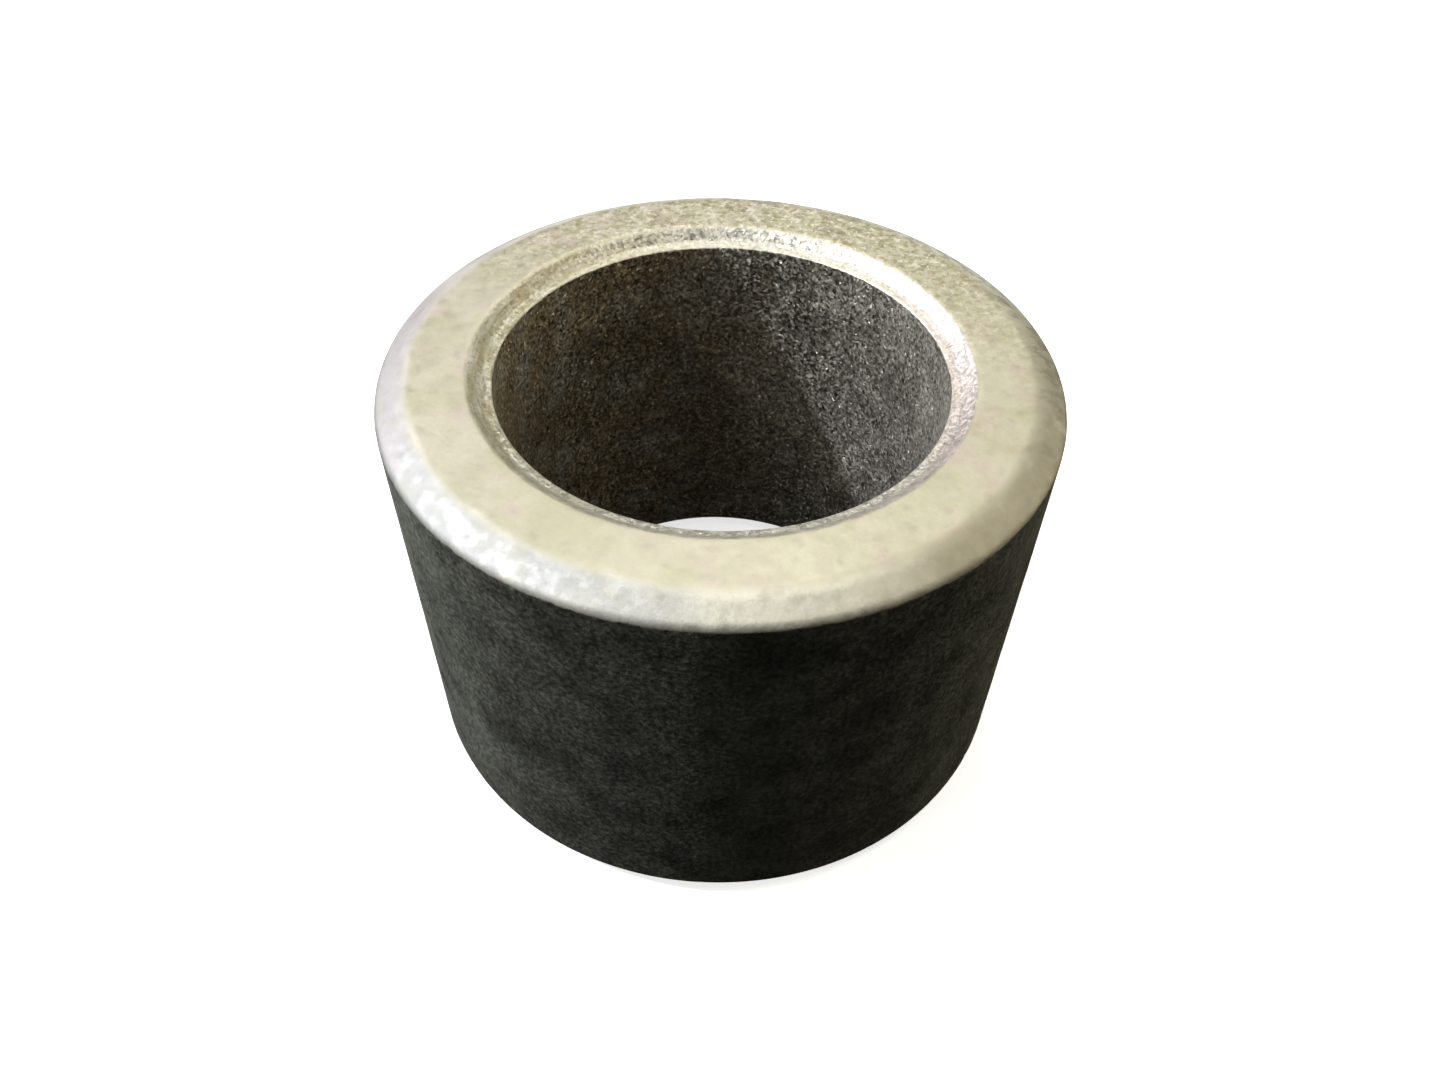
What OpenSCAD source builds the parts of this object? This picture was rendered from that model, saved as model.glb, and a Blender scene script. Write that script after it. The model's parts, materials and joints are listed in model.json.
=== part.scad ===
// Plain cylindrical sleeve bearing, pressed and sintered from bronze powder and soaked with oil.
// One solid: a straight bore, a straight outside wall, and two alike ends that the punches shaped.
// Millimetres. The sleeve stands on one end, on the origin, with its bore along +Z.

/* [Fits] */
// Diameter of the shaft that turns in the bore
shaft_d = 12.7; // [6:0.1:40]
// Clearance on diameter between the bore and that shaft, before the sleeve is pressed in
running_clearance = 0.05; // [0.01:0.01:0.15]
// Wall between the shaft and the housing, as nominal sizes
wall_t = 3.175; // [2.2:0.005:8]
// How much larger the outside diameter is than the housing it is pressed into
press_interference = 0.08; // [0.02:0.01:0.15]

/* [Length] */
// Length over the two end faces
length = 12.7; // [4:0.1:60]

/* [Rim chamfer] */
// Width of the chamfer around the outside of each end, across the face
rim_chamfer_w = 0.78; // [0.3:0.01:1]
// Height of that chamfer along the wall
rim_chamfer_h = 0.44; // [0.2:0.01:0.8]
// Radius that blends the chamfer into the outside wall
shoulder_r = 0.30; // [0.05:0.01:0.6]

/* [Bore lead-in] */
// Width of the steep cone that starts at the end face
cone_w = 0.36; // [0.15:0.01:0.5]
// Depth of that cone
cone_h = 0.33; // [0.15:0.01:0.6]
// Width of the shallow shelf between the cone and the bore
shelf_w = 0.30; // [0.1:0.01:0.4]
// Fall of the shelf towards the bore
shelf_h = 0.09; // [0.02:0.01:0.2]
// Radius of the hollow where the cone meets the shelf
cove_r = 0.20; // [0.03:0.01:0.3]

/* [Edges] */
// Radius that blends the rim chamfer into the end face
rim_edge_r = 0.80; // [0.05:0.01:1]
// Radius of the worn edge where the cone meets the end face
cone_edge_r = 0.25; // [0.03:0.01:0.4]
// Radius of the edge where the shelf meets the bore
bore_edge_r = 0.06; // [0.02:0.01:0.15]

/* [Hidden] */

bore_r = (shaft_d + running_clearance) / 2;
outer_r = shaft_d / 2 + wall_t + press_interference / 2;

// Steps around the sleeve, and around each rounded corner of its section
around_steps = 240;
corner_steps = 6;
// A rounded corner takes at most this share of each edge that it stands between
corner_share = 0.48;
// Degrees of turn under which a corner counts as straight
straight_turn = 1;

bronze = [0.70, 0.67, 0.55];

function unit(v) = v / norm(v);

// Mirrors a point of the section end for end, [radius, height, corner radius]
function other_end(p) = [p[0], length - p[1], p[2]];

// The place of a section point, without its corner radius
function place(p) = [p[0], p[1]];

// Points of the arc that rounds the corner b, between its neighbours a and c.
// Each is [radius, height, corner radius]. A corner that is nearly straight stays one point.
function corner_arc(a, b, c) =
    let (
        back = unit(place(a) - place(b)),
        ahead = unit(place(c) - place(b)),
        shorter = min(norm(place(a) - place(b)), norm(place(c) - place(b))),
        half_angle = acos(back * ahead) / 2,
        reach = min(b[2] / tan(half_angle), corner_share * shorter),
        radius = reach * tan(half_angle),
        centre = place(b) + unit(back + ahead) * reach / cos(half_angle),
        first = place(b) + back * reach - centre,
        start = atan2(first[1], first[0]),
        turn = (cross(back, ahead) < 0 ? 1 : -1) * (180 - 2 * half_angle)
    )
    abs(turn) < straight_turn
        ? [place(b)]
        : [for (i = [0 : corner_steps])
            let (angle = start + turn * i / corner_steps)
            centre + radius * [cos(angle), sin(angle)]];

// Every corner of a closed outline, rounded
function rounded(outline) =
    let (n = len(outline))
    [for (i = [0 : n - 1])
        each corner_arc(outline[(i + n - 1) % n], outline[i], outline[(i + 1) % n])];

// Corners of the top end, from the bore outwards: shelf, cone, end face and rim chamfer
top_end = [
    [bore_r, length - cone_h - shelf_h, bore_edge_r],
    [bore_r + shelf_w, length - cone_h, cove_r],
    [bore_r + shelf_w + cone_w, length, cone_edge_r],
    [outer_r - rim_chamfer_w, length, rim_edge_r],
    [outer_r, length - rim_chamfer_h, shoulder_r]
];
bottom_end = [for (i = [len(top_end) - 1 : -1 : 0]) other_end(top_end[i])];

module wall_section() {
    polygon(rounded(concat(top_end, bottom_end)));
}

module sleeve() {
    color(bronze)
        rotate_extrude($fn = around_steps)
            wall_section();
}

sleeve();
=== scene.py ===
"""Looks, lights and camera of a plain sleeve bearing, pressed and sintered from bronze powder.

The sleeve is one closed mesh, modelled in millimetres and brought to metres at the end. Its section is
drawn from the frame's own sizes, spun round the bore's axis, and then given the small unevenness that
pressing, sintering and handling leave: pits between the grains, dents along the rims, drag marks.
"""

import json
import logging
import math
from dataclasses import dataclass
from enum import Enum

import bmesh
import bpy
from mathutils import Matrix, Vector, noise


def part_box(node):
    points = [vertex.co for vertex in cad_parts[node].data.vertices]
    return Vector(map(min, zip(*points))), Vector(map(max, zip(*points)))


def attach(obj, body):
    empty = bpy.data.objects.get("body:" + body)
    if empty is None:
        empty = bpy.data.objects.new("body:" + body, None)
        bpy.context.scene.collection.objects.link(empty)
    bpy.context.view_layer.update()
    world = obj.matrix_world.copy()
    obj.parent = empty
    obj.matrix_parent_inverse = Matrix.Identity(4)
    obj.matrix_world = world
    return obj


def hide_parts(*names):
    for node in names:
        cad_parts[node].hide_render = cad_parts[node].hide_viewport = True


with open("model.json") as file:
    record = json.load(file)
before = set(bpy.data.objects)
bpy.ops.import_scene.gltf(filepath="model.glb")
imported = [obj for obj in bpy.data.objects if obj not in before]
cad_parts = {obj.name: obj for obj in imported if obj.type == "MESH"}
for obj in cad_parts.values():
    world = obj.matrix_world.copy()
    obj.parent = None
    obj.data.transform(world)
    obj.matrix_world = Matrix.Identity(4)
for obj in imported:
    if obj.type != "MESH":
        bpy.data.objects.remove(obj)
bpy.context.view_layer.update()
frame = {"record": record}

log = logging.getLogger("sleeve_bearing")

MM = 0.001

# Points nearer to each other than this, in millimetres, count as one
SAME_PLACE = 1e-4

# Strength of each finer octave of a noise texture, as a share of the one before
OCTAVE_SHARE = 0.6


class Part(Enum):
    """The names that the frame gives to what this script dresses and rides on."""

    NODE = "sleeve"
    BODY = "root"
    SLOT = "sintered_bronze"


class Mark(Enum):
    """Point attributes that tell the metal where each finish and the dirt lie."""

    RIM = "rim_share"
    LEAD_IN = "lead_in_share"
    WALL = "wall_share"
    BORE = "bore_share"
    HOLLOW = "hollow_share"


class Seed(Enum):
    """How far the noise of each kind of unevenness is shifted, so that no two kinds fall together."""

    GRAIN = 3.0
    SWELL = 7.0
    DENT = 13.0
    DRAG = 19.0
    PIT = 31.0


def linear(colour: str) -> tuple[float, float, float, float]:
    """Turns an sRGB hex colour into the linear values that a shader takes.

    Args:
        colour: Six hex digits with a leading hash, such as "#C8C09A".

    Returns:
        Linear red, green and blue, and an alpha of 1.
    """
    parts = [int(colour[i : i + 2], 16) / 255 for i in (1, 3, 5)]
    bent = [p / 12.92 if p <= 0.04045 else ((p + 0.055) / 1.055) ** 2.4 for p in parts]
    return (*bent, 1.0)


def smooth_step(low: float, high: float, value: float) -> float:
    """Rises softly from 0 at low to 1 at high."""
    share = min(max((value - low) / (high - low), 0.0), 1.0)
    return share * share * (3 - 2 * share)


def between(start: float, end: float, share: float) -> float:
    """Goes evenly from start at a share of 0 to end at a share of 1."""
    return start + (end - start) * share


def add_node(
    tree: bpy.types.NodeTree,
    kind: str,
    settings: dict[str, object],
    links: dict[object, object],
    output: int | str | None = 0,
) -> bpy.types.NodeSocket | None:
    """Adds one shader node.

    Args:
        tree: The node tree of a material or of the world.
        kind: The node's type, such as "ShaderNodeMath".
        settings: Properties of the node and their values.
        links: What each input gets, by its name or number: another node's output, or a plain value.
        output: Name or number of the output to give back, or None for a node that has none.

    Returns:
        That output.
    """
    node = tree.nodes.new(kind)
    for name, value in settings.items():
        setattr(node, name, value)
    for name, value in links.items():
        if isinstance(value, bpy.types.NodeSocket):
            tree.links.new(value, node.inputs[name])
        else:
            node.inputs[name].default_value = value
    return None if output is None else node.outputs[output]


@dataclass(frozen=True)
class Corner:
    """One corner of the wall's section: its radius, its depth below the end face, and its rounding."""

    radius: float
    depth: float
    rounding: float


@dataclass
class SleeveShape:
    """Sizes of the sleeve in millimetres, and the steps that turn them into a mesh."""

    bore_radius: float
    outer_radius: float
    length: float
    rim_width: float = 0.78
    rim_height: float = 0.44
    shoulder_radius: float = 0.30
    cone_width: float = 0.36
    cone_height: float = 0.33
    shelf_width: float = 0.30
    shelf_height: float = 0.09
    cove_radius: float = 0.20
    rim_edge_radius: float = 0.80
    cone_edge_radius: float = 0.25
    bore_edge_radius: float = 0.06
    steps_around: int = 360
    wall_step: float = 0.16
    end_step: float = 0.085
    corner_steps: int = 5
    widest_rounding: float = 0.48

    def corners(self) -> list[Corner]:
        """Lists one end's corners from the bore outwards: shelf, cone, face and rim chamfer.

        Returns:
            The five corners.
        """
        shelf_edge = self.bore_radius + self.shelf_width
        return [
            Corner(self.bore_radius, self.cone_height + self.shelf_height, self.bore_edge_radius),
            Corner(shelf_edge, self.cone_height, self.cove_radius),
            Corner(shelf_edge + self.cone_width, 0.0, self.cone_edge_radius),
            Corner(self.outer_radius - self.rim_width, 0.0, self.rim_edge_radius),
            Corner(self.outer_radius, self.rim_height, self.shoulder_radius),
        ]

    def depth(self, height: float) -> float:
        """Gives how far a height lies below the nearer end face."""
        return min(height, self.length - height)

    def draw_section(self, mesh: bmesh.types.BMesh) -> None:
        """Draws the closed outline of the wall in the XZ plane and rounds its corners.

        A rounding takes up to widest_rounding of either side next to its corner, so two never meet.

        Args:
            mesh: The empty mesh that takes the outline.
        """
        corners = self.corners()
        top = [(c, self.length - c.depth) for c in corners]
        bottom = [(c, c.depth) for c in reversed(corners)]
        points = [(c, mesh.verts.new((c.radius, 0.0, height))) for c, height in top + bottom]
        places = [vert.co.copy() for _, vert in points]
        for (_, vert), (_, following) in zip(points, points[1:] + points[:1]):
            mesh.edges.new((vert, following))
        for i, (corner, vert) in enumerate(points):
            back = places[i - 1] - places[i]
            ahead = places[(i + 1) % len(places)] - places[i]
            reach = corner.rounding / math.tan(back.angle(ahead) / 2)
            widest = self.widest_rounding * min(back.length, ahead.length)
            bmesh.ops.bevel(
                mesh, geom=[vert], offset=min(reach, widest), affect="VERTICES",
                segments=self.corner_steps, profile=0.5, material=-1,
            )

    def cut_finer(self, mesh: bmesh.types.BMesh) -> None:
        """Cuts the long runs of the spun section, finely at the ends and coarser along the walls.

        Args:
            mesh: The spun sleeve.
        """
        runs: dict[int, list[bmesh.types.BMEdge]] = {}
        for edge in mesh.edges:
            a, b = (vert.co for vert in edge.verts)
            rise, spread = abs(a.z - b.z), abs(a.xy.length - b.xy.length)
            if max(rise, spread) > SAME_PLACE:
                step = self.wall_step if rise > self.length / 2 else self.end_step
                runs.setdefault(round(edge.calc_length() / step), []).append(edge)
        for pieces, edges in runs.items():
            if pieces > 1:
                bmesh.ops.subdivide_edges(mesh, edges=edges, cuts=pieces - 1)

    def spun(self) -> bmesh.types.BMesh:
        """Spins the section round the bore's axis into a closed sleeve.

        Returns:
            A mesh in millimetres, with its faces pointing outwards.
        """
        mesh = bmesh.new()
        self.draw_section(mesh)
        bmesh.ops.spin(
            mesh, geom=mesh.verts[:] + mesh.edges[:], cent=(0, 0, 0), axis=(0, 0, 1),
            dvec=(0, 0, 0), angle=math.tau, steps=self.steps_around, use_merge=True,
        )
        self.cut_finer(mesh)
        bmesh.ops.remove_doubles(mesh, verts=mesh.verts, dist=SAME_PLACE)
        bmesh.ops.recalc_face_normals(mesh, faces=mesh.faces)
        return mesh


@dataclass(frozen=True)
class Relief:
    """How deep, in millimetres, the surface lies below its true shape, and over what distance it varies.

    Every part of it goes inwards only, so the sleeve never grows past its sizes. The punches pressed the
    ends smoother than the walls, so there the grain and the pits have only a share of their depth. The
    powder's own grains are under 0.15 mm, too fine for the mesh, so the grain here is twice as wide, and
    the metal adds the finer one.

    A chance is the noise at which pits or dents begin, and at which they have their full depth. A pit's
    reach goes from the end of its floor to its brim, in shares of pit_size. Dirt stays in the pits and in
    the deepest grain.
    """

    grain_size: float = 0.30
    grain_depth: float = 0.010
    grain_on_ends: float = 0.35
    pit_size: float = 0.55
    pit_depth: float = 0.035
    pit_on_ends: float = 0.15
    pit_reach: tuple[float, float] = (0.06, 0.26)
    pit_cluster: float = 1.6
    pit_chance: tuple[float, float] = (0.45, 0.62)
    swell_size: float = 2.2
    swell_depth: float = 0.012
    dent_size: float = 0.75
    dent_depth: float = 0.024
    dent_chance: tuple[float, float] = (0.35, 0.75)
    dent_from_rim: float = 0.30
    dent_from_bore: float = 0.18
    dent_at_bore: float = 0.4
    drag_depth: float = 0.010
    drag_squeeze: float = 0.06
    dirt_in_pits_on_ends: float = 0.2
    dirt_in_grain: float = 0.4
    dirty_grain: tuple[float, float] = (0.6, 0.9)

    def waves(self, place: Vector, size: float, seed: Seed) -> float:
        """Gives smooth noise from 0 to 1 whose bumps are about size millimetres wide."""
        shift = Vector((seed.value, seed.value * 1.7, seed.value * 2.3))
        return 0.5 + 0.5 * noise.noise(place / size + shift)

    def pits(self, place: Vector) -> float:
        """Tells where the sparse pits are.

        Args:
            place: The point, in millimetres.

        Returns:
            1 at the bottom of a pit and 0 outside it.
        """
        distances, _ = noise.voronoi(place / self.pit_size)
        chance = self.waves(place, self.pit_size * self.pit_cluster, Seed.PIT)
        return (1 - smooth_step(*self.pit_reach, distances[0])) * smooth_step(*self.pit_chance, chance)

    def sink(self, place: Vector, wall: float, edge: float) -> tuple[float, float]:
        """Works out how far a point sinks below the true shape.

        Args:
            place: The point, in millimetres.
            wall: Its share of wall, from 0 on an end to 1.
            edge: How close it is to the edge of an end face, from 0 to 1.

        Returns:
            The depth in millimetres, and the share of it that holds dirt and oil.
        """
        dragged = Vector((place.x, place.y, place.z * self.drag_squeeze))
        grain = self.waves(place, self.grain_size, Seed.GRAIN)
        swell = self.waves(place, self.swell_size, Seed.SWELL)
        dent = smooth_step(*self.dent_chance, self.waves(place, self.dent_size, Seed.DENT))
        drag = self.waves(dragged, self.grain_size, Seed.DRAG)
        pit = self.pits(place)
        depth = (
            self.grain_depth * grain * between(self.grain_on_ends, 1.0, wall)
            + self.swell_depth * swell
            + self.pit_depth * pit * between(self.pit_on_ends, 1.0, wall)
            + self.dent_depth * dent * edge
            + self.drag_depth * drag * wall
        )
        dirt = pit * between(self.dirt_in_pits_on_ends, 1.0, wall)
        return depth, min(dirt + self.dirt_in_grain * smooth_step(*self.dirty_grain, grain), 1.0)


@dataclass(frozen=True)
class Borders:
    """Where each finish starts and where it is full, in millimetres past the edge that it starts from.

    The rim is measured by radius and the others by their depth below the end face.
    """

    rim: tuple[float, float] = (-0.25, 0.10)
    outside_wall: tuple[float, float] = (0.04, 0.20)
    lead_in: tuple[float, float] = (0.0, 0.05)
    bore: tuple[float, float] = (-0.02, 0.06)


@dataclass
class Sleeve:
    """The whole sleeve: its mesh, its unevenness and its metal."""

    shape: SleeveShape
    relief: Relief = Relief()
    borders: Borders = Borders()

    def marks(self, place: Vector) -> dict[Mark, float]:
        """Tells which finish a point of the true shape has.

        Args:
            place: The point, in millimetres.

        Returns:
            The share of each finish that comes near it. The punched face takes the rest.
        """
        shape, borders = self.shape, self.borders
        radius, depth = place.xy.length, shape.depth(place.z)
        if radius > (shape.bore_radius + shape.outer_radius) / 2:
            chamfer = shape.outer_radius - shape.rim_width
            rim = smooth_step(*(chamfer + past for past in borders.rim), radius)
            wall = smooth_step(*(shape.rim_height + past for past in borders.outside_wall), depth)
            return {Mark.RIM: rim * (1 - wall), Mark.WALL: wall}
        bore_edge = shape.cone_height + shape.shelf_height
        lead_in = smooth_step(*borders.lead_in, depth)
        bore = smooth_step(*(bore_edge + past for past in borders.bore), depth)
        return {Mark.LEAD_IN: lead_in * (1 - bore), Mark.BORE: bore}

    def edge_nearness(self, place: Vector) -> float:
        """Tells how near a point is to an edge of an end face, where knocks have dented it.

        Args:
            place: The point, in millimetres.

        Returns:
            1 at the outer edge, less at the inner one, and 0 away from them.
        """
        shape, relief = self.shape, self.relief
        radius = place.xy.length
        outer_edge = shape.outer_radius - shape.rim_width
        inner_edge = shape.bore_radius + shape.shelf_width + shape.cone_width
        at_rim = 1 - smooth_step(0.0, relief.dent_from_rim, abs(radius - outer_edge))
        at_bore = 1 - smooth_step(0.0, relief.dent_from_bore, abs(radius - inner_edge))
        on_end = 1 - smooth_step(0.0, shape.rim_height, shape.depth(place.z))
        return max(at_rim, relief.dent_at_bore * at_bore) * on_end

    def roughen(self, mesh: bmesh.types.BMesh) -> None:
        """Marks every point with its finish and sinks it by its share of unevenness.

        Args:
            mesh: The spun sleeve, in millimetres.
        """
        layers = {mark: mesh.verts.layers.float.new(mark.value) for mark in Mark}
        mesh.normal_update()
        inward = [(vert, -vert.normal) for vert in mesh.verts]
        for vert, direction in inward:
            marks = self.marks(vert.co)
            wall = marks.get(Mark.WALL, 0.0) + marks.get(Mark.BORE, 0.0)
            depth, marks[Mark.HOLLOW] = self.relief.sink(vert.co, wall, self.edge_nearness(vert.co))
            for mark, share in marks.items():
                vert[layers[mark]] = share
            vert.co += direction * depth

    def build(self) -> bpy.types.Object:
        """Makes the sleeve's object, which stands in for the plain one in the frame.

        Returns:
            The finished piece, riding on its body.
        """
        mesh = self.shape.spun()
        self.roughen(mesh)
        bmesh.ops.scale(mesh, vec=(MM, MM, MM), verts=mesh.verts)
        for face in mesh.faces:
            face.smooth = True
        data = bpy.data.meshes.new("sleeve_bearing")
        mesh.to_mesh(data)
        mesh.free()
        piece = bpy.data.objects.new("sleeve_bearing", data)
        bpy.context.scene.collection.objects.link(piece)
        data.materials.append(SinteredBronze().material())
        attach(piece, Part.BODY.value)
        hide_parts(Part.NODE.value)
        return piece


# Sockets of a Mix node: its share, what it mixes, and its result, for colours and for numbers
COLOUR_MIX = (0, 6, 7, 2)
NUMBER_MIX = (0, 2, 3, 0)


@dataclass(frozen=True)
class Patches:
    """Patches of metal about size millimetres wide, which begin where noise is at start.

    They are complete where it is at full, above or below start. With a streak above 1 they run round the
    bore's axis, that many times longer than wide.
    """

    size: float
    start: float
    full: float
    streak: float = 1.0
    detail: float = 3.0

    def share(self, tree: bpy.types.NodeTree, place: bpy.types.NodeSocket) -> bpy.types.NodeSocket:
        """Adds the nodes that tell where the patches are.

        Args:
            tree: The material's nodes.
            place: The output that gives the point in the piece's own coordinates.

        Returns:
            The output that gives 1 inside a patch and 0 between patches.
        """
        if self.streak != 1.0:
            along = 1 / self.streak
            squeezed = add_node(
                tree, "ShaderNodeVectorMath", {"operation": "MULTIPLY"}, {0: place, 1: (along, along, 0.0)}
            )
            radius = add_node(
                tree, "ShaderNodeVectorMath", {"operation": "LENGTH"}, {0: squeezed}, "Value"
            )
            across = add_node(
                tree, "ShaderNodeMath", {"operation": "MULTIPLY"}, {0: radius, 1: self.streak}
            )
            raised = add_node(tree, "ShaderNodeCombineXYZ", {}, {"Z": across})
            place = add_node(tree, "ShaderNodeVectorMath", {"operation": "ADD"}, {0: squeezed, 1: raised})
        wave = add_node(
            tree, "ShaderNodeTexNoise", {},
            {
                "Vector": place, "Scale": 1 / (self.size * MM),
                "Detail": self.detail, "Roughness": OCTAVE_SHARE,
            },
        )
        return add_node(
            tree, "ShaderNodeMapRange", {"interpolation_type": "SMOOTHSTEP"},
            {"Value": wave, "From Min": self.start, "From Max": self.full},
        )


@dataclass(frozen=True)
class Side:
    """One side of the sleeve, by its azimuth in degrees.

    What is tied to it grows from least to 1 between start and full, in millimetres from the axis
    towards that side. Noise shifts that border by up to half of wander either way.
    """

    azimuth: float
    start: float
    full: float
    least: float = 0.0
    wander: float = 6.0
    wander_size: float = 3.0

    def share(self, tree: bpy.types.NodeTree, place: bpy.types.NodeSocket) -> bpy.types.NodeSocket:
        """Adds the nodes that tell how much of the effect a point has.

        Args:
            tree: The material's nodes.
            place: The output that gives the point in the piece's own coordinates.

        Returns:
            The output that gives a share from least to 1.
        """
        toward = math.radians(self.azimuth)
        distance = add_node(
            tree, "ShaderNodeVectorMath", {"operation": "DOT_PRODUCT"},
            {0: place, 1: (math.cos(toward) / MM, math.sin(toward) / MM, 0.0)}, "Value",
        )
        wave = add_node(
            tree, "ShaderNodeTexNoise", {},
            {"Vector": place, "Scale": 1 / (self.wander_size * MM), "Detail": 2.0},
        )
        shifted = add_node(
            tree, "ShaderNodeMath", {"operation": "MULTIPLY_ADD"}, {0: wave, 1: self.wander, 2: distance}
        )
        middle = self.wander / 2
        return add_node(
            tree, "ShaderNodeMapRange", {"interpolation_type": "SMOOTHSTEP"},
            {
                "Value": shifted,
                "From Min": self.start + middle, "From Max": self.full + middle,
                "To Min": self.least, "To Max": 1.0,
            },
        )


@dataclass(frozen=True)
class Tint:
    """A colour that lies in patches over the metal, perhaps on one side of the sleeve only."""

    colour: str
    strength: float
    patches: Patches
    side: Side | None = None

    def over(
        self, tree: bpy.types.NodeTree, place: bpy.types.NodeSocket, below: object
    ) -> bpy.types.NodeSocket:
        """Adds the nodes that lay this colour over the one below.

        Args:
            tree: The material's nodes.
            place: The output that gives the point in the piece's own coordinates.
            below: The colour below, or the output that gives it.

        Returns:
            The output that gives the colour with this one over it.
        """
        share = self.patches.share(tree, place)
        if self.side:
            share = add_node(
                tree, "ShaderNodeMath", {"operation": "MULTIPLY"},
                {0: share, 1: self.side.share(tree, place)},
            )
        scaled = add_node(tree, "ShaderNodeMath", {"operation": "MULTIPLY"}, {0: share, 1: self.strength})
        factor, a, b, result = COLOUR_MIX
        return add_node(
            tree, "ShaderNodeMix", {"data_type": "RGBA"},
            {factor: scaled, a: below, b: linear(self.colour)}, result,
        )


@dataclass(frozen=True)
class Finish:
    """One way in which the bronze was worked.

    Its dullness goes from the first roughness outside its shiny patches to the second inside them.
    Its grain stands up to grain_height millimetres high, and its facets lean by up to that share of
    the normal's length.
    """

    base: str
    tints: tuple[Tint, ...]
    shiny: Patches
    roughness: tuple[float, float]
    grain_size: float
    grain_height: float
    lean: float

    def colour(self, tree: bpy.types.NodeTree, place: bpy.types.NodeSocket) -> object:
        """Adds the nodes that give the finish's colour.

        Args:
            tree: The material's nodes.
            place: The output that gives the point in the piece's own coordinates.

        Returns:
            The output that gives the colour, or the base where there are no tints.
        """
        result: object = linear(self.base)
        for tint in self.tints:
            result = tint.over(tree, place, result)
        return result

    def dullness(self, tree: bpy.types.NodeTree, place: bpy.types.NodeSocket) -> bpy.types.NodeSocket:
        """Adds the nodes that give the finish's roughness.

        Args:
            tree: The material's nodes.
            place: The output that gives the point in the piece's own coordinates.

        Returns:
            The output that gives the roughness.
        """
        dull, shiny = self.roughness
        return add_node(
            tree, "ShaderNodeMapRange", {},
            {"Value": self.shiny.share(tree, place), "To Min": dull, "To Max": shiny},
        )

    def height(self, tree: bpy.types.NodeTree, place: bpy.types.NodeSocket) -> bpy.types.NodeSocket:
        """Adds the nodes that give the grain's height, which is 0 on average in every finish.

        Args:
            tree: The material's nodes.
            place: The output that gives the point in the piece's own coordinates.

        Returns:
            The output that gives the height in millimetres.
        """
        wave = add_node(
            tree, "ShaderNodeTexNoise", {},
            {
                "Vector": place, "Scale": 1 / (self.grain_size * MM),
                "Detail": 3.0, "Roughness": OCTAVE_SHARE,
            },
        )
        return add_node(
            tree, "ShaderNodeMath", {"operation": "MULTIPLY_ADD"},
            {0: wave, 1: self.grain_height, 2: -self.grain_height / 2},
        )


# Side of the sleeve where handling stained its end faces and where their painted glints lie, and the side
# where it stained their rims
STAINED_AND_GLINTING = Side(azimuth=74.0, start=0.5, full=8.0, least=0.05)
STAINED_RIM = Side(azimuth=40.0, start=2.0, full=8.5)

# Pressed flat by the punch and left matt by sintering: pale straw in faint green and pink clouds, with
# painted shade in tan towards the right edge, and on the stained side olive and mauve grains with painted
# bright glints among them
PUNCHED_FACE = Finish(
    base="#E0DBCA",
    tints=(
        Tint("#D6D3BC", 1.0, Patches(1.7, 0.40, 0.66)),
        Tint("#DFD2CA", 0.9, Patches(1.2, 0.50, 0.72)),
        # Painted shade: tan that darkens the face towards its right edge, where less light falls
        Tint("#BCAB90", 0.35, Patches(1.6, 0.48, 0.68), Side(azimuth=-5.0, start=3.0, full=8.0)),
        Tint("#A8A08C", 0.35, Patches(0.80, 0.46, 0.68), STAINED_AND_GLINTING),
        Tint("#ABA06A", 0.65, Patches(0.24, 0.47, 0.62), STAINED_AND_GLINTING),
        Tint("#95867C", 0.55, Patches(0.32, 0.51, 0.66), STAINED_AND_GLINTING),
        # Painted glints: near-white specks over the stained side of the face
        Tint("#FCF8EC", 0.80, Patches(0.18, 0.52, 0.64), STAINED_AND_GLINTING),
        Tint("#6E6553", 0.30, Patches(0.14, 0.58, 0.70), STAINED_AND_GLINTING),
    ),
    shiny=Patches(0.5, 0.35, 0.65), roughness=(0.62, 0.52),
    grain_size=0.13, grain_height=0.004, lean=0.03,
)

# Chamfer round the outside, rubbed by the punch and by handling: paler than the face, partly from
# burnishing and partly as a painted highlight that is brightest at the front, where no tint dulls it,
# softly lumpy, with a painted cool reflection of the key lamp on the left front, painted shade on the
# right, faintly pink beside the cool side, and dull brown where it is stained
RUBBED_AND_HIGHLIT_RIM = Finish(
    # Partly painted highlight: the pale base stands in for the light on the rim, and shows most at the front
    base="#F0EEE2",
    tints=(
        # Painted reflection: cool grey on the left front, the cast of the cool key lamp's highlight
        Tint("#C4C5C4", 0.85, Patches(1.2, 0.05, 0.45), Side(azimuth=205.0, start=3.5, full=7.5)),
        # Painted shade: dull khaki on the right side, which faces away from the key lamp
        Tint("#B3AC96", 0.75, Patches(1.5, 0.15, 0.45), Side(azimuth=-18.0, start=4.0, full=8.5)),
        Tint("#D2BEC2", 0.25, Patches(1.2, 0.20, 0.50), Side(azimuth=165.0, start=6.5, full=8.5)),
        Tint("#C9C7B4", 0.40, Patches(0.60, 0.50, 0.70)),
        Tint("#857963", 0.45, Patches(0.45, 0.44, 0.66), STAINED_RIM),
        Tint("#6A655D", 0.35, Patches(0.25, 0.55, 0.70), STAINED_RIM),
    ),
    shiny=Patches(0.40, 0.40, 0.65), roughness=(0.73, 0.63),
    grain_size=0.42, grain_height=0.014, lean=0.05,
)

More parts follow.
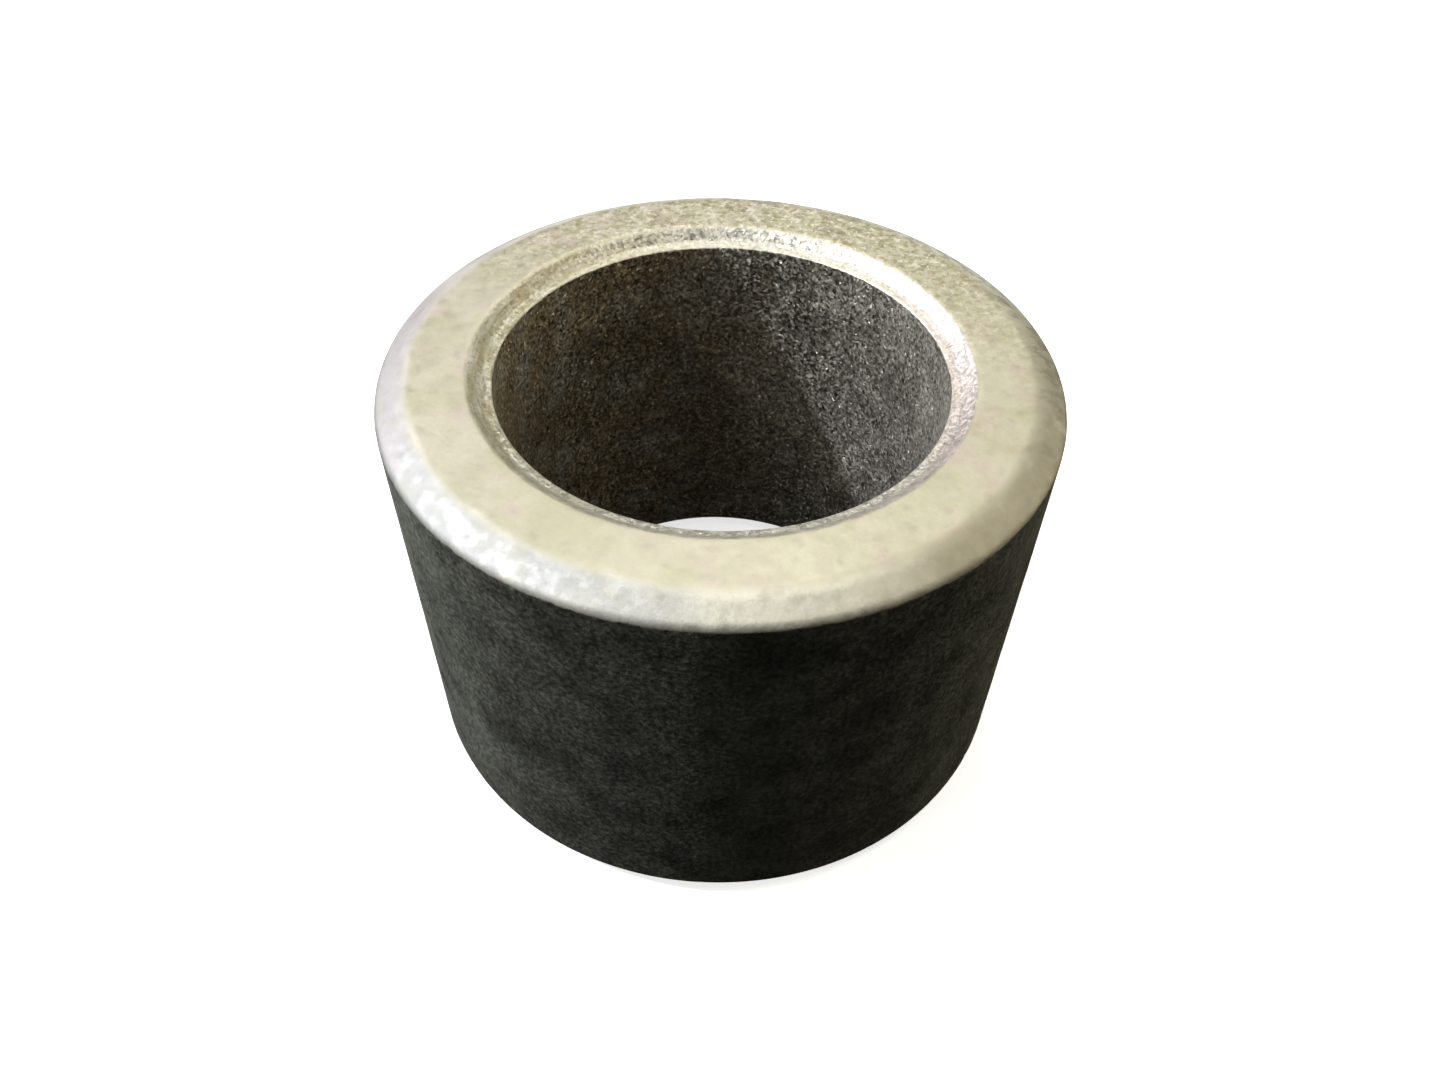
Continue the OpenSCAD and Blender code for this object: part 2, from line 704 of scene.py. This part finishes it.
# Cone and shelf that lead into the bore, burnished by the punch: nearly white, with olive streaks round
# the bore on the left that also paint the shade of the side facing away from the key lamp, and a faint flush
# on the other
BURNISHED_LEAD_IN = Finish(
    base="#E8E5DB",
    tints=(
        # Partly painted shade: olive streaks on the left, where the cone faces away from the key lamp
        Tint(
            "#B0A67A", 0.60, Patches(0.16, 0.36, 0.60, streak=8.0), Side(azimuth=178.0, start=1.0, full=6.5)
        ),
        Tint("#8F8458", 0.40, Patches(0.12, 0.54, 0.68)),
        Tint("#F2E6E2", 0.70, Patches(1.0, 0.20, 0.50), Side(azimuth=0.0, start=3.0, full=6.0)),
        Tint("#9A8A62", 0.22, Patches(0.06, 0.52, 0.64, streak=20.0)),
    ),
    shiny=Patches(0.20, 0.35, 0.65), roughness=(0.60, 0.46),
    grain_size=0.14, grain_height=0.024, lean=0.34,
)

# Outside wall that slid along the die, open-pored and soaked with oil: charcoal olive, softly clouded,
# and with painted light that makes it paler on the left, where the lamps fall on it
OILY_WALL = Finish(
    base="#82837A",
    tints=(
        Tint("#BCBEB2", 1.0, Patches(1.5, 0.30, 0.70, detail=5.0)),
        Tint("#4A4A41", 0.22, Patches(0.13, 0.50, 0.35)),
        Tint("#CCCABC", 0.15, Patches(0.13, 0.52, 0.66)),
        Tint("#2C2B25", 0.35, Patches(0.12, 0.62, 0.70, detail=2.0)),
        # Painted light: paler wall on the left side, where the key and side lamps fall
        Tint("#DADCD2", 0.60, Patches(2.2, 0.25, 0.60), Side(azimuth=190.0, start=5.5, full=9.0)),
    ),
    shiny=Patches(0.14, 0.30, 0.70), roughness=(0.62, 0.44),
    grain_size=0.14, grain_height=0.012, lean=0.20,
)

# Bore that slid along the core rod, its grain open: grey with black pores and bright glints, and a
# painted warm, brown cast on the left back, where the light from the right falls
OPEN_BORE = Finish(
    base="#97938A",
    tints=(
        Tint("#C0BDB3", 1.0, Patches(1.0, 0.32, 0.68, detail=5.0)),
        # Painted warm light: a brown cast on the left back of the bore, lit from the right
        Tint("#947F58", 0.65, Patches(1.4, 0.30, 0.60), Side(azimuth=150.0, start=0.0, full=5.0)),
        Tint("#34322D", 0.45, Patches(0.10, 0.50, 0.36)),
        Tint("#F0EEE4", 0.40, Patches(0.10, 0.52, 0.66)),
    ),
    shiny=Patches(0.11, 0.56, 0.66, detail=1.0), roughness=(0.82, 0.36),
    grain_size=0.10, grain_height=0.030, lean=1.25,
)


@dataclass(frozen=True)
class SinteredBronze:
    """Sintered tin bronze, pressed from powder and soaked with oil.

    To the eye it is a pale, faintly green straw where tools pressed it, and a dark, grainy olive where
    the pores hold oil. Its IOR stays at the default, as for any metal. Facets are half as wide as the
    powder's grains, which are under 0.15 mm. Single pores are far finer and wouldn't show, so the dark
    and bright specks of the finishes are drawn about as wide as a grain.
    """

    facet_size: float = 0.08
    dirt: str = "#2A2820"
    dirt_strength: float = 0.30
    border: Patches = Patches(0.30, 0.20, 0.80)
    border_raggedness: float = 0.5
    border_softness: float = 0.4

    def layered(
        self, tree: bpy.types.NodeTree, shares: list[object], values: list[object],
        data_type: str, sockets: tuple[int, int, int, int],
    ) -> object:
        """Lays the values of the other finishes over the punched face's.

        Args:
            tree: The material's nodes.
            shares: Where each of the other finishes lies.
            values: What the punched face gives, and then what each of the others gives.
            data_type: The Mix node's kind of value.
            sockets: The Mix node's sockets for that kind.

        Returns:
            The output that gives the value of whichever finish lies at a point.
        """
        factor, a, b, result = sockets
        value = values[0]
        for share, above in zip(shares, values[1:]):
            value = add_node(
                tree, "ShaderNodeMix", {"data_type": data_type}, {factor: share, a: value, b: above}, result
            )
        return value

    def ragged_shares(
        self, tree: bpy.types.NodeTree, place: bpy.types.NodeSocket, marks: dict[Mark, bpy.types.NodeSocket]
    ) -> list[bpy.types.NodeSocket]:
        """Adds the nodes that make the walls' borders ragged.

        Args:
            tree: The material's nodes.
            place: The output that gives the point in the piece's own coordinates.
            marks: The outputs that give the share of each finish.

        Returns:
            The outputs that tell where rim, lead-in, wall and bore lie over the punched face.
        """
        wave = self.border.share(tree, place)
        shift = add_node(
            tree, "ShaderNodeMath", {"operation": "MULTIPLY_ADD"},
            {0: wave, 1: self.border_raggedness, 2: -self.border_raggedness / 2},
        )
        ragged = []
        for mark in (Mark.WALL, Mark.BORE):
            shifted = add_node(tree, "ShaderNodeMath", {"operation": "ADD"}, {0: marks[mark], 1: shift})
            ragged.append(add_node(
                tree, "ShaderNodeMapRange", {"interpolation_type": "SMOOTHSTEP"},
                {
                    "Value": shifted,
                    "From Min": 0.5 - self.border_softness / 2, "From Max": 0.5 + self.border_softness / 2,
                },
            ))
        return [marks[Mark.RIM], marks[Mark.LEAD_IN], *ragged]

    def facets(
        self, tree: bpy.types.NodeTree, place: bpy.types.NodeSocket, lean: object
    ) -> bpy.types.NodeSocket:
        """Adds the nodes that tilt the normal grain by grain, as the facets of single grains do.

        Args:
            tree: The material's nodes.
            place: The output that gives the point in the piece's own coordinates.
            lean: How far a facet may lean, as a share of the normal's length, or the output that gives it.

        Returns:
            The output that gives the tilted normal.
        """
        cells = add_node(
            tree, "ShaderNodeTexVoronoi", {}, {"Vector": place, "Scale": 1 / (self.facet_size * MM)}, "Color"
        )
        centred = add_node(
            tree, "ShaderNodeVectorMath", {"operation": "SUBTRACT"}, {0: cells, 1: (0.5, 0.5, 0.5)}
        )
        scaled = add_node(tree, "ShaderNodeVectorMath", {"operation": "SCALE"}, {0: centred, "Scale": lean})
        upright = add_node(tree, "ShaderNodeNewGeometry", {}, {}, "Normal")
        leaning = add_node(tree, "ShaderNodeVectorMath", {"operation": "ADD"}, {0: upright, 1: scaled})
        return add_node(tree, "ShaderNodeVectorMath", {"operation": "NORMALIZE"}, {0: leaning})

    def material(self) -> bpy.types.Material:
        """Makes the metal.

        Returns:
            A material that reads the point attributes of Mark and the piece's own coordinates.
        """
        material = bpy.data.materials.new("sintered_bronze_oil_soaked")
        material.use_nodes = True
        tree = material.node_tree
        tree.nodes.clear()
        place = add_node(tree, "ShaderNodeTexCoord", {}, {}, "Object")
        marks = {
            mark: add_node(tree, "ShaderNodeAttribute", {"attribute_name": mark.value}, {}, "Fac")
            for mark in Mark
        }
        shares = self.ragged_shares(tree, place, marks)
        finishes = (PUNCHED_FACE, RUBBED_AND_HIGHLIT_RIM, BURNISHED_LEAD_IN, OILY_WALL, OPEN_BORE)
        colours = [finish.colour(tree, place) for finish in finishes]
        dullness = [finish.dullness(tree, place) for finish in finishes]
        heights = [finish.height(tree, place) for finish in finishes]
        leans = [finish.lean for finish in finishes]
        hollow = add_node(
            tree, "ShaderNodeMath", {"operation": "MULTIPLY"}, {0: marks[Mark.HOLLOW], 1: self.dirt_strength}
        )
        clean = self.layered(tree, shares, colours, "RGBA", COLOUR_MIX)
        factor, a, b, result = COLOUR_MIX
        dirty = add_node(
            tree, "ShaderNodeMix", {"data_type": "RGBA"}, {factor: hollow, a: clean, b: linear(self.dirt)},
            result,
        )
        lean = self.layered(tree, shares, leans, "FLOAT", NUMBER_MIX)
        bump = add_node(
            tree, "ShaderNodeBump", {},
            {
                "Normal": self.facets(tree, place, lean),
                "Height": self.layered(tree, shares, heights, "FLOAT", NUMBER_MIX),
                "Distance": MM,
                "Strength": 1.0,
            },
        )
        surface = add_node(
            tree, "ShaderNodeBsdfPrincipled", {},
            {
                "Base Color": dirty,
                "Metallic": 1.0,
                "Roughness": self.layered(tree, shares, dullness, "FLOAT", NUMBER_MIX),
                "Normal": bump,
            },
        )
        add_node(tree, "ShaderNodeOutputMaterial", {}, {"Surface": surface}, None)
        return material


@dataclass(frozen=True)
class Lamp:
    """A round softbox, aimed at the sleeve. Azimuth 0 lies along +X and 90 along +Y, in degrees.

    Its brightness is what a white matt card that faces it at the sleeve would show, which is its power
    over the square of pi times its distance. Its width and distance are in metres.
    """

    name: str
    azimuth: float
    elevation: float
    brightness: float
    width: float
    colour: str = "#FFFFFF"
    distance: float = 0.30

    def build(self, target: Vector) -> None:
        """Adds the softbox to the scene.

        Args:
            target: What it is aimed at.
        """
        around, up = math.radians(self.azimuth), math.radians(self.elevation)
        level = math.cos(up)
        direction = Vector((math.cos(around) * level, math.sin(around) * level, math.sin(up)))
        light = bpy.data.lights.new(self.name, "AREA")
        light.shape = "DISK"
        light.size = self.width
        light.color = linear(self.colour)[:3]
        light.energy = self.brightness * (math.pi * self.distance) ** 2
        lamp = bpy.data.objects.new(self.name, light)
        lamp.matrix_world = (
            Matrix.Translation(target + direction * self.distance)
            @ direction.to_track_quat("Z", "Y").to_matrix().to_4x4()
        )
        bpy.context.scene.collection.objects.link(lamp)


@dataclass
class Viewpoint:
    """Where the camera stands and how it is aimed, in millimetres and degrees from the sleeve's axis."""

    back: float = 25.97
    above_face: float = 18.85
    heading: float = 0.754
    downward: float = 48.06
    tilt: float = 1.75
    lens: float = 28.27
    sensor: float = 36.0
    shift: tuple[float, float] = (-0.0053, 0.0418)

    def build(self, face_height: float) -> None:
        """Makes the scene's camera.

        Args:
            face_height: Height of the sleeve's upper face, in metres.
        """
        camera = bpy.data.objects.new("camera", bpy.data.cameras.new("camera"))
        heading, down, tilt = (math.radians(a) for a in (self.heading, self.downward, self.tilt))
        level = math.cos(down)
        ahead = Vector((math.sin(heading) * level, math.cos(heading) * level, -math.sin(down)))
        right = Vector((math.cos(heading), -math.sin(heading), 0.0))
        up = right.cross(ahead)
        turned_right = math.cos(tilt) * right + math.sin(tilt) * up
        turned_up = math.cos(tilt) * up - math.sin(tilt) * right
        aim = Matrix((turned_right, turned_up, -ahead)).transposed().to_4x4()
        place = Vector((0.0, -self.back * MM, face_height + self.above_face * MM))
        camera.matrix_world = Matrix.Translation(place) @ aim
        camera.data.sensor_width = self.sensor
        camera.data.lens = self.lens
        camera.data.shift_x, camera.data.shift_y = self.shift
        camera.data.clip_start, camera.data.clip_end = MM, 100.0
        bpy.context.scene.collection.objects.link(camera)
        bpy.context.scene.camera = camera


@dataclass
class Studio:
    """The pale floor, the lamps and the dim, even light of the room.

    The floor glows a little, so that it stays pale under the sleeve, but lights and mirrors nothing.
    """

    floor_size: float = 6.0
    floor_colour: str = "#F4F4F4"
    floor_roughness: float = 0.9
    floor_sheen: float = 0.2
    floor_glow: float = 0.8
    room_brightness: float = 0.005
    lamps: tuple[Lamp, ...] = (
        Lamp("key_lamp", 180.0, 41.0, 0.60, 0.012, "#F1F4FF"),
        Lamp("side_lamp", 216.0, 34.0, 0.09, 0.012, "#FFF0DC"),
        Lamp("high_left_softbox", 180.0, 65.0, 0.25, 0.10, "#FBFBFA"),
        Lamp("high_right_softbox", 10.0, 63.0, 0.19, 0.10, "#FFF6DE"),
        Lamp("front_lamp", 271.0, 74.0, 0.045, 0.04, "#FAFFF8"),
        Lamp("back_softbox", 86.0, 53.0, 0.19, 0.12, "#FFFFF0"),
        Lamp("back_left_softbox", 135.0, 30.0, 0.20, 0.10, "#F8F4FA"),
        Lamp("low_left_softbox", 197.0, 11.0, 0.19, 0.12, "#FAFFF4"),
        Lamp("low_right_softbox", 5.0, 15.0, 0.22, 0.10, "#FFF6DE"),
        Lamp("low_back_softbox", 62.0, 13.0, 0.07, 0.12, "#FCFFEF"),
    )

    def build_floor(self) -> None:
        """Makes the plain floor that the sleeve stands on."""
        mesh = bmesh.new()
        bmesh.ops.create_grid(mesh, x_segments=1, y_segments=1, size=self.floor_size / 2)
        data = bpy.data.meshes.new("floor")
        mesh.to_mesh(data)
        mesh.free()
        floor = bpy.data.objects.new("floor", data)
        material = bpy.data.materials.new("matt_paper")
        material.use_nodes = True
        paper = material.node_tree.nodes["Principled BSDF"]
        paper.inputs["Base Color"].default_value = linear(self.floor_colour)
        paper.inputs["Roughness"].default_value = self.floor_roughness
        paper.inputs["Specular IOR Level"].default_value = self.floor_sheen
        paper.inputs["Emission Color"].default_value = linear(self.floor_colour)
        paper.inputs["Emission Strength"].default_value = self.floor_glow
        data.materials.append(material)
        floor.visible_diffuse = False
        floor.visible_glossy = False
        bpy.context.scene.collection.objects.link(floor)

    def build_room(self) -> None:
        """Gives the room a dim, even light, and beyond the floor a backdrop as bright as its far edge."""
        world = bpy.data.worlds.new("room")
        bpy.context.scene.world = world
        world.use_nodes = True
        tree = world.node_tree
        tree.nodes.clear()
        seen = add_node(tree, "ShaderNodeLightPath", {}, {}, "Is Camera Ray")
        room = add_node(tree, "ShaderNodeBackground", {}, {"Strength": self.room_brightness})
        beyond = add_node(
            tree, "ShaderNodeBackground", {},
            {"Color": linear(self.floor_colour), "Strength": self.floor_glow},
        )
        both = add_node(tree, "ShaderNodeMixShader", {}, {0: seen, 1: room, 2: beyond})
        add_node(tree, "ShaderNodeOutputWorld", {}, {"Surface": both}, None)

    def build(self, target: Vector) -> None:
        """Sets the floor, the room and every lamp.

        Args:
            target: The middle of the sleeve, in metres.
        """
        self.build_floor()
        self.build_room()
        for lamp in self.lamps:
            lamp.build(target)
        bpy.context.scene.view_settings.view_transform = "Standard"


def main() -> None:
    """Builds the sleeve, the studio and the camera."""
    logging.basicConfig(level=logging.INFO)
    low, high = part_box(Part.NODE.value)
    mounts = {mount["name"]: mount["dims"] for mount in frame["record"]["mounts"]}
    shape = SleeveShape(
        bore_radius=mounts["shaft_bore"]["r_mm"],
        outer_radius=mounts["housing_diameter"]["r_mm"],
        length=(high.z - low.z) / MM,
    )
    sleeve = Sleeve(shape).build()
    log.info("%s: %d points, %d faces", sleeve.name, len(sleeve.data.vertices), len(sleeve.data.polygons))
    Studio().build(Vector((0.0, 0.0, (low.z + high.z) / 2)))
    Viewpoint().build(high.z)


if __name__ == "__main__":
    main()
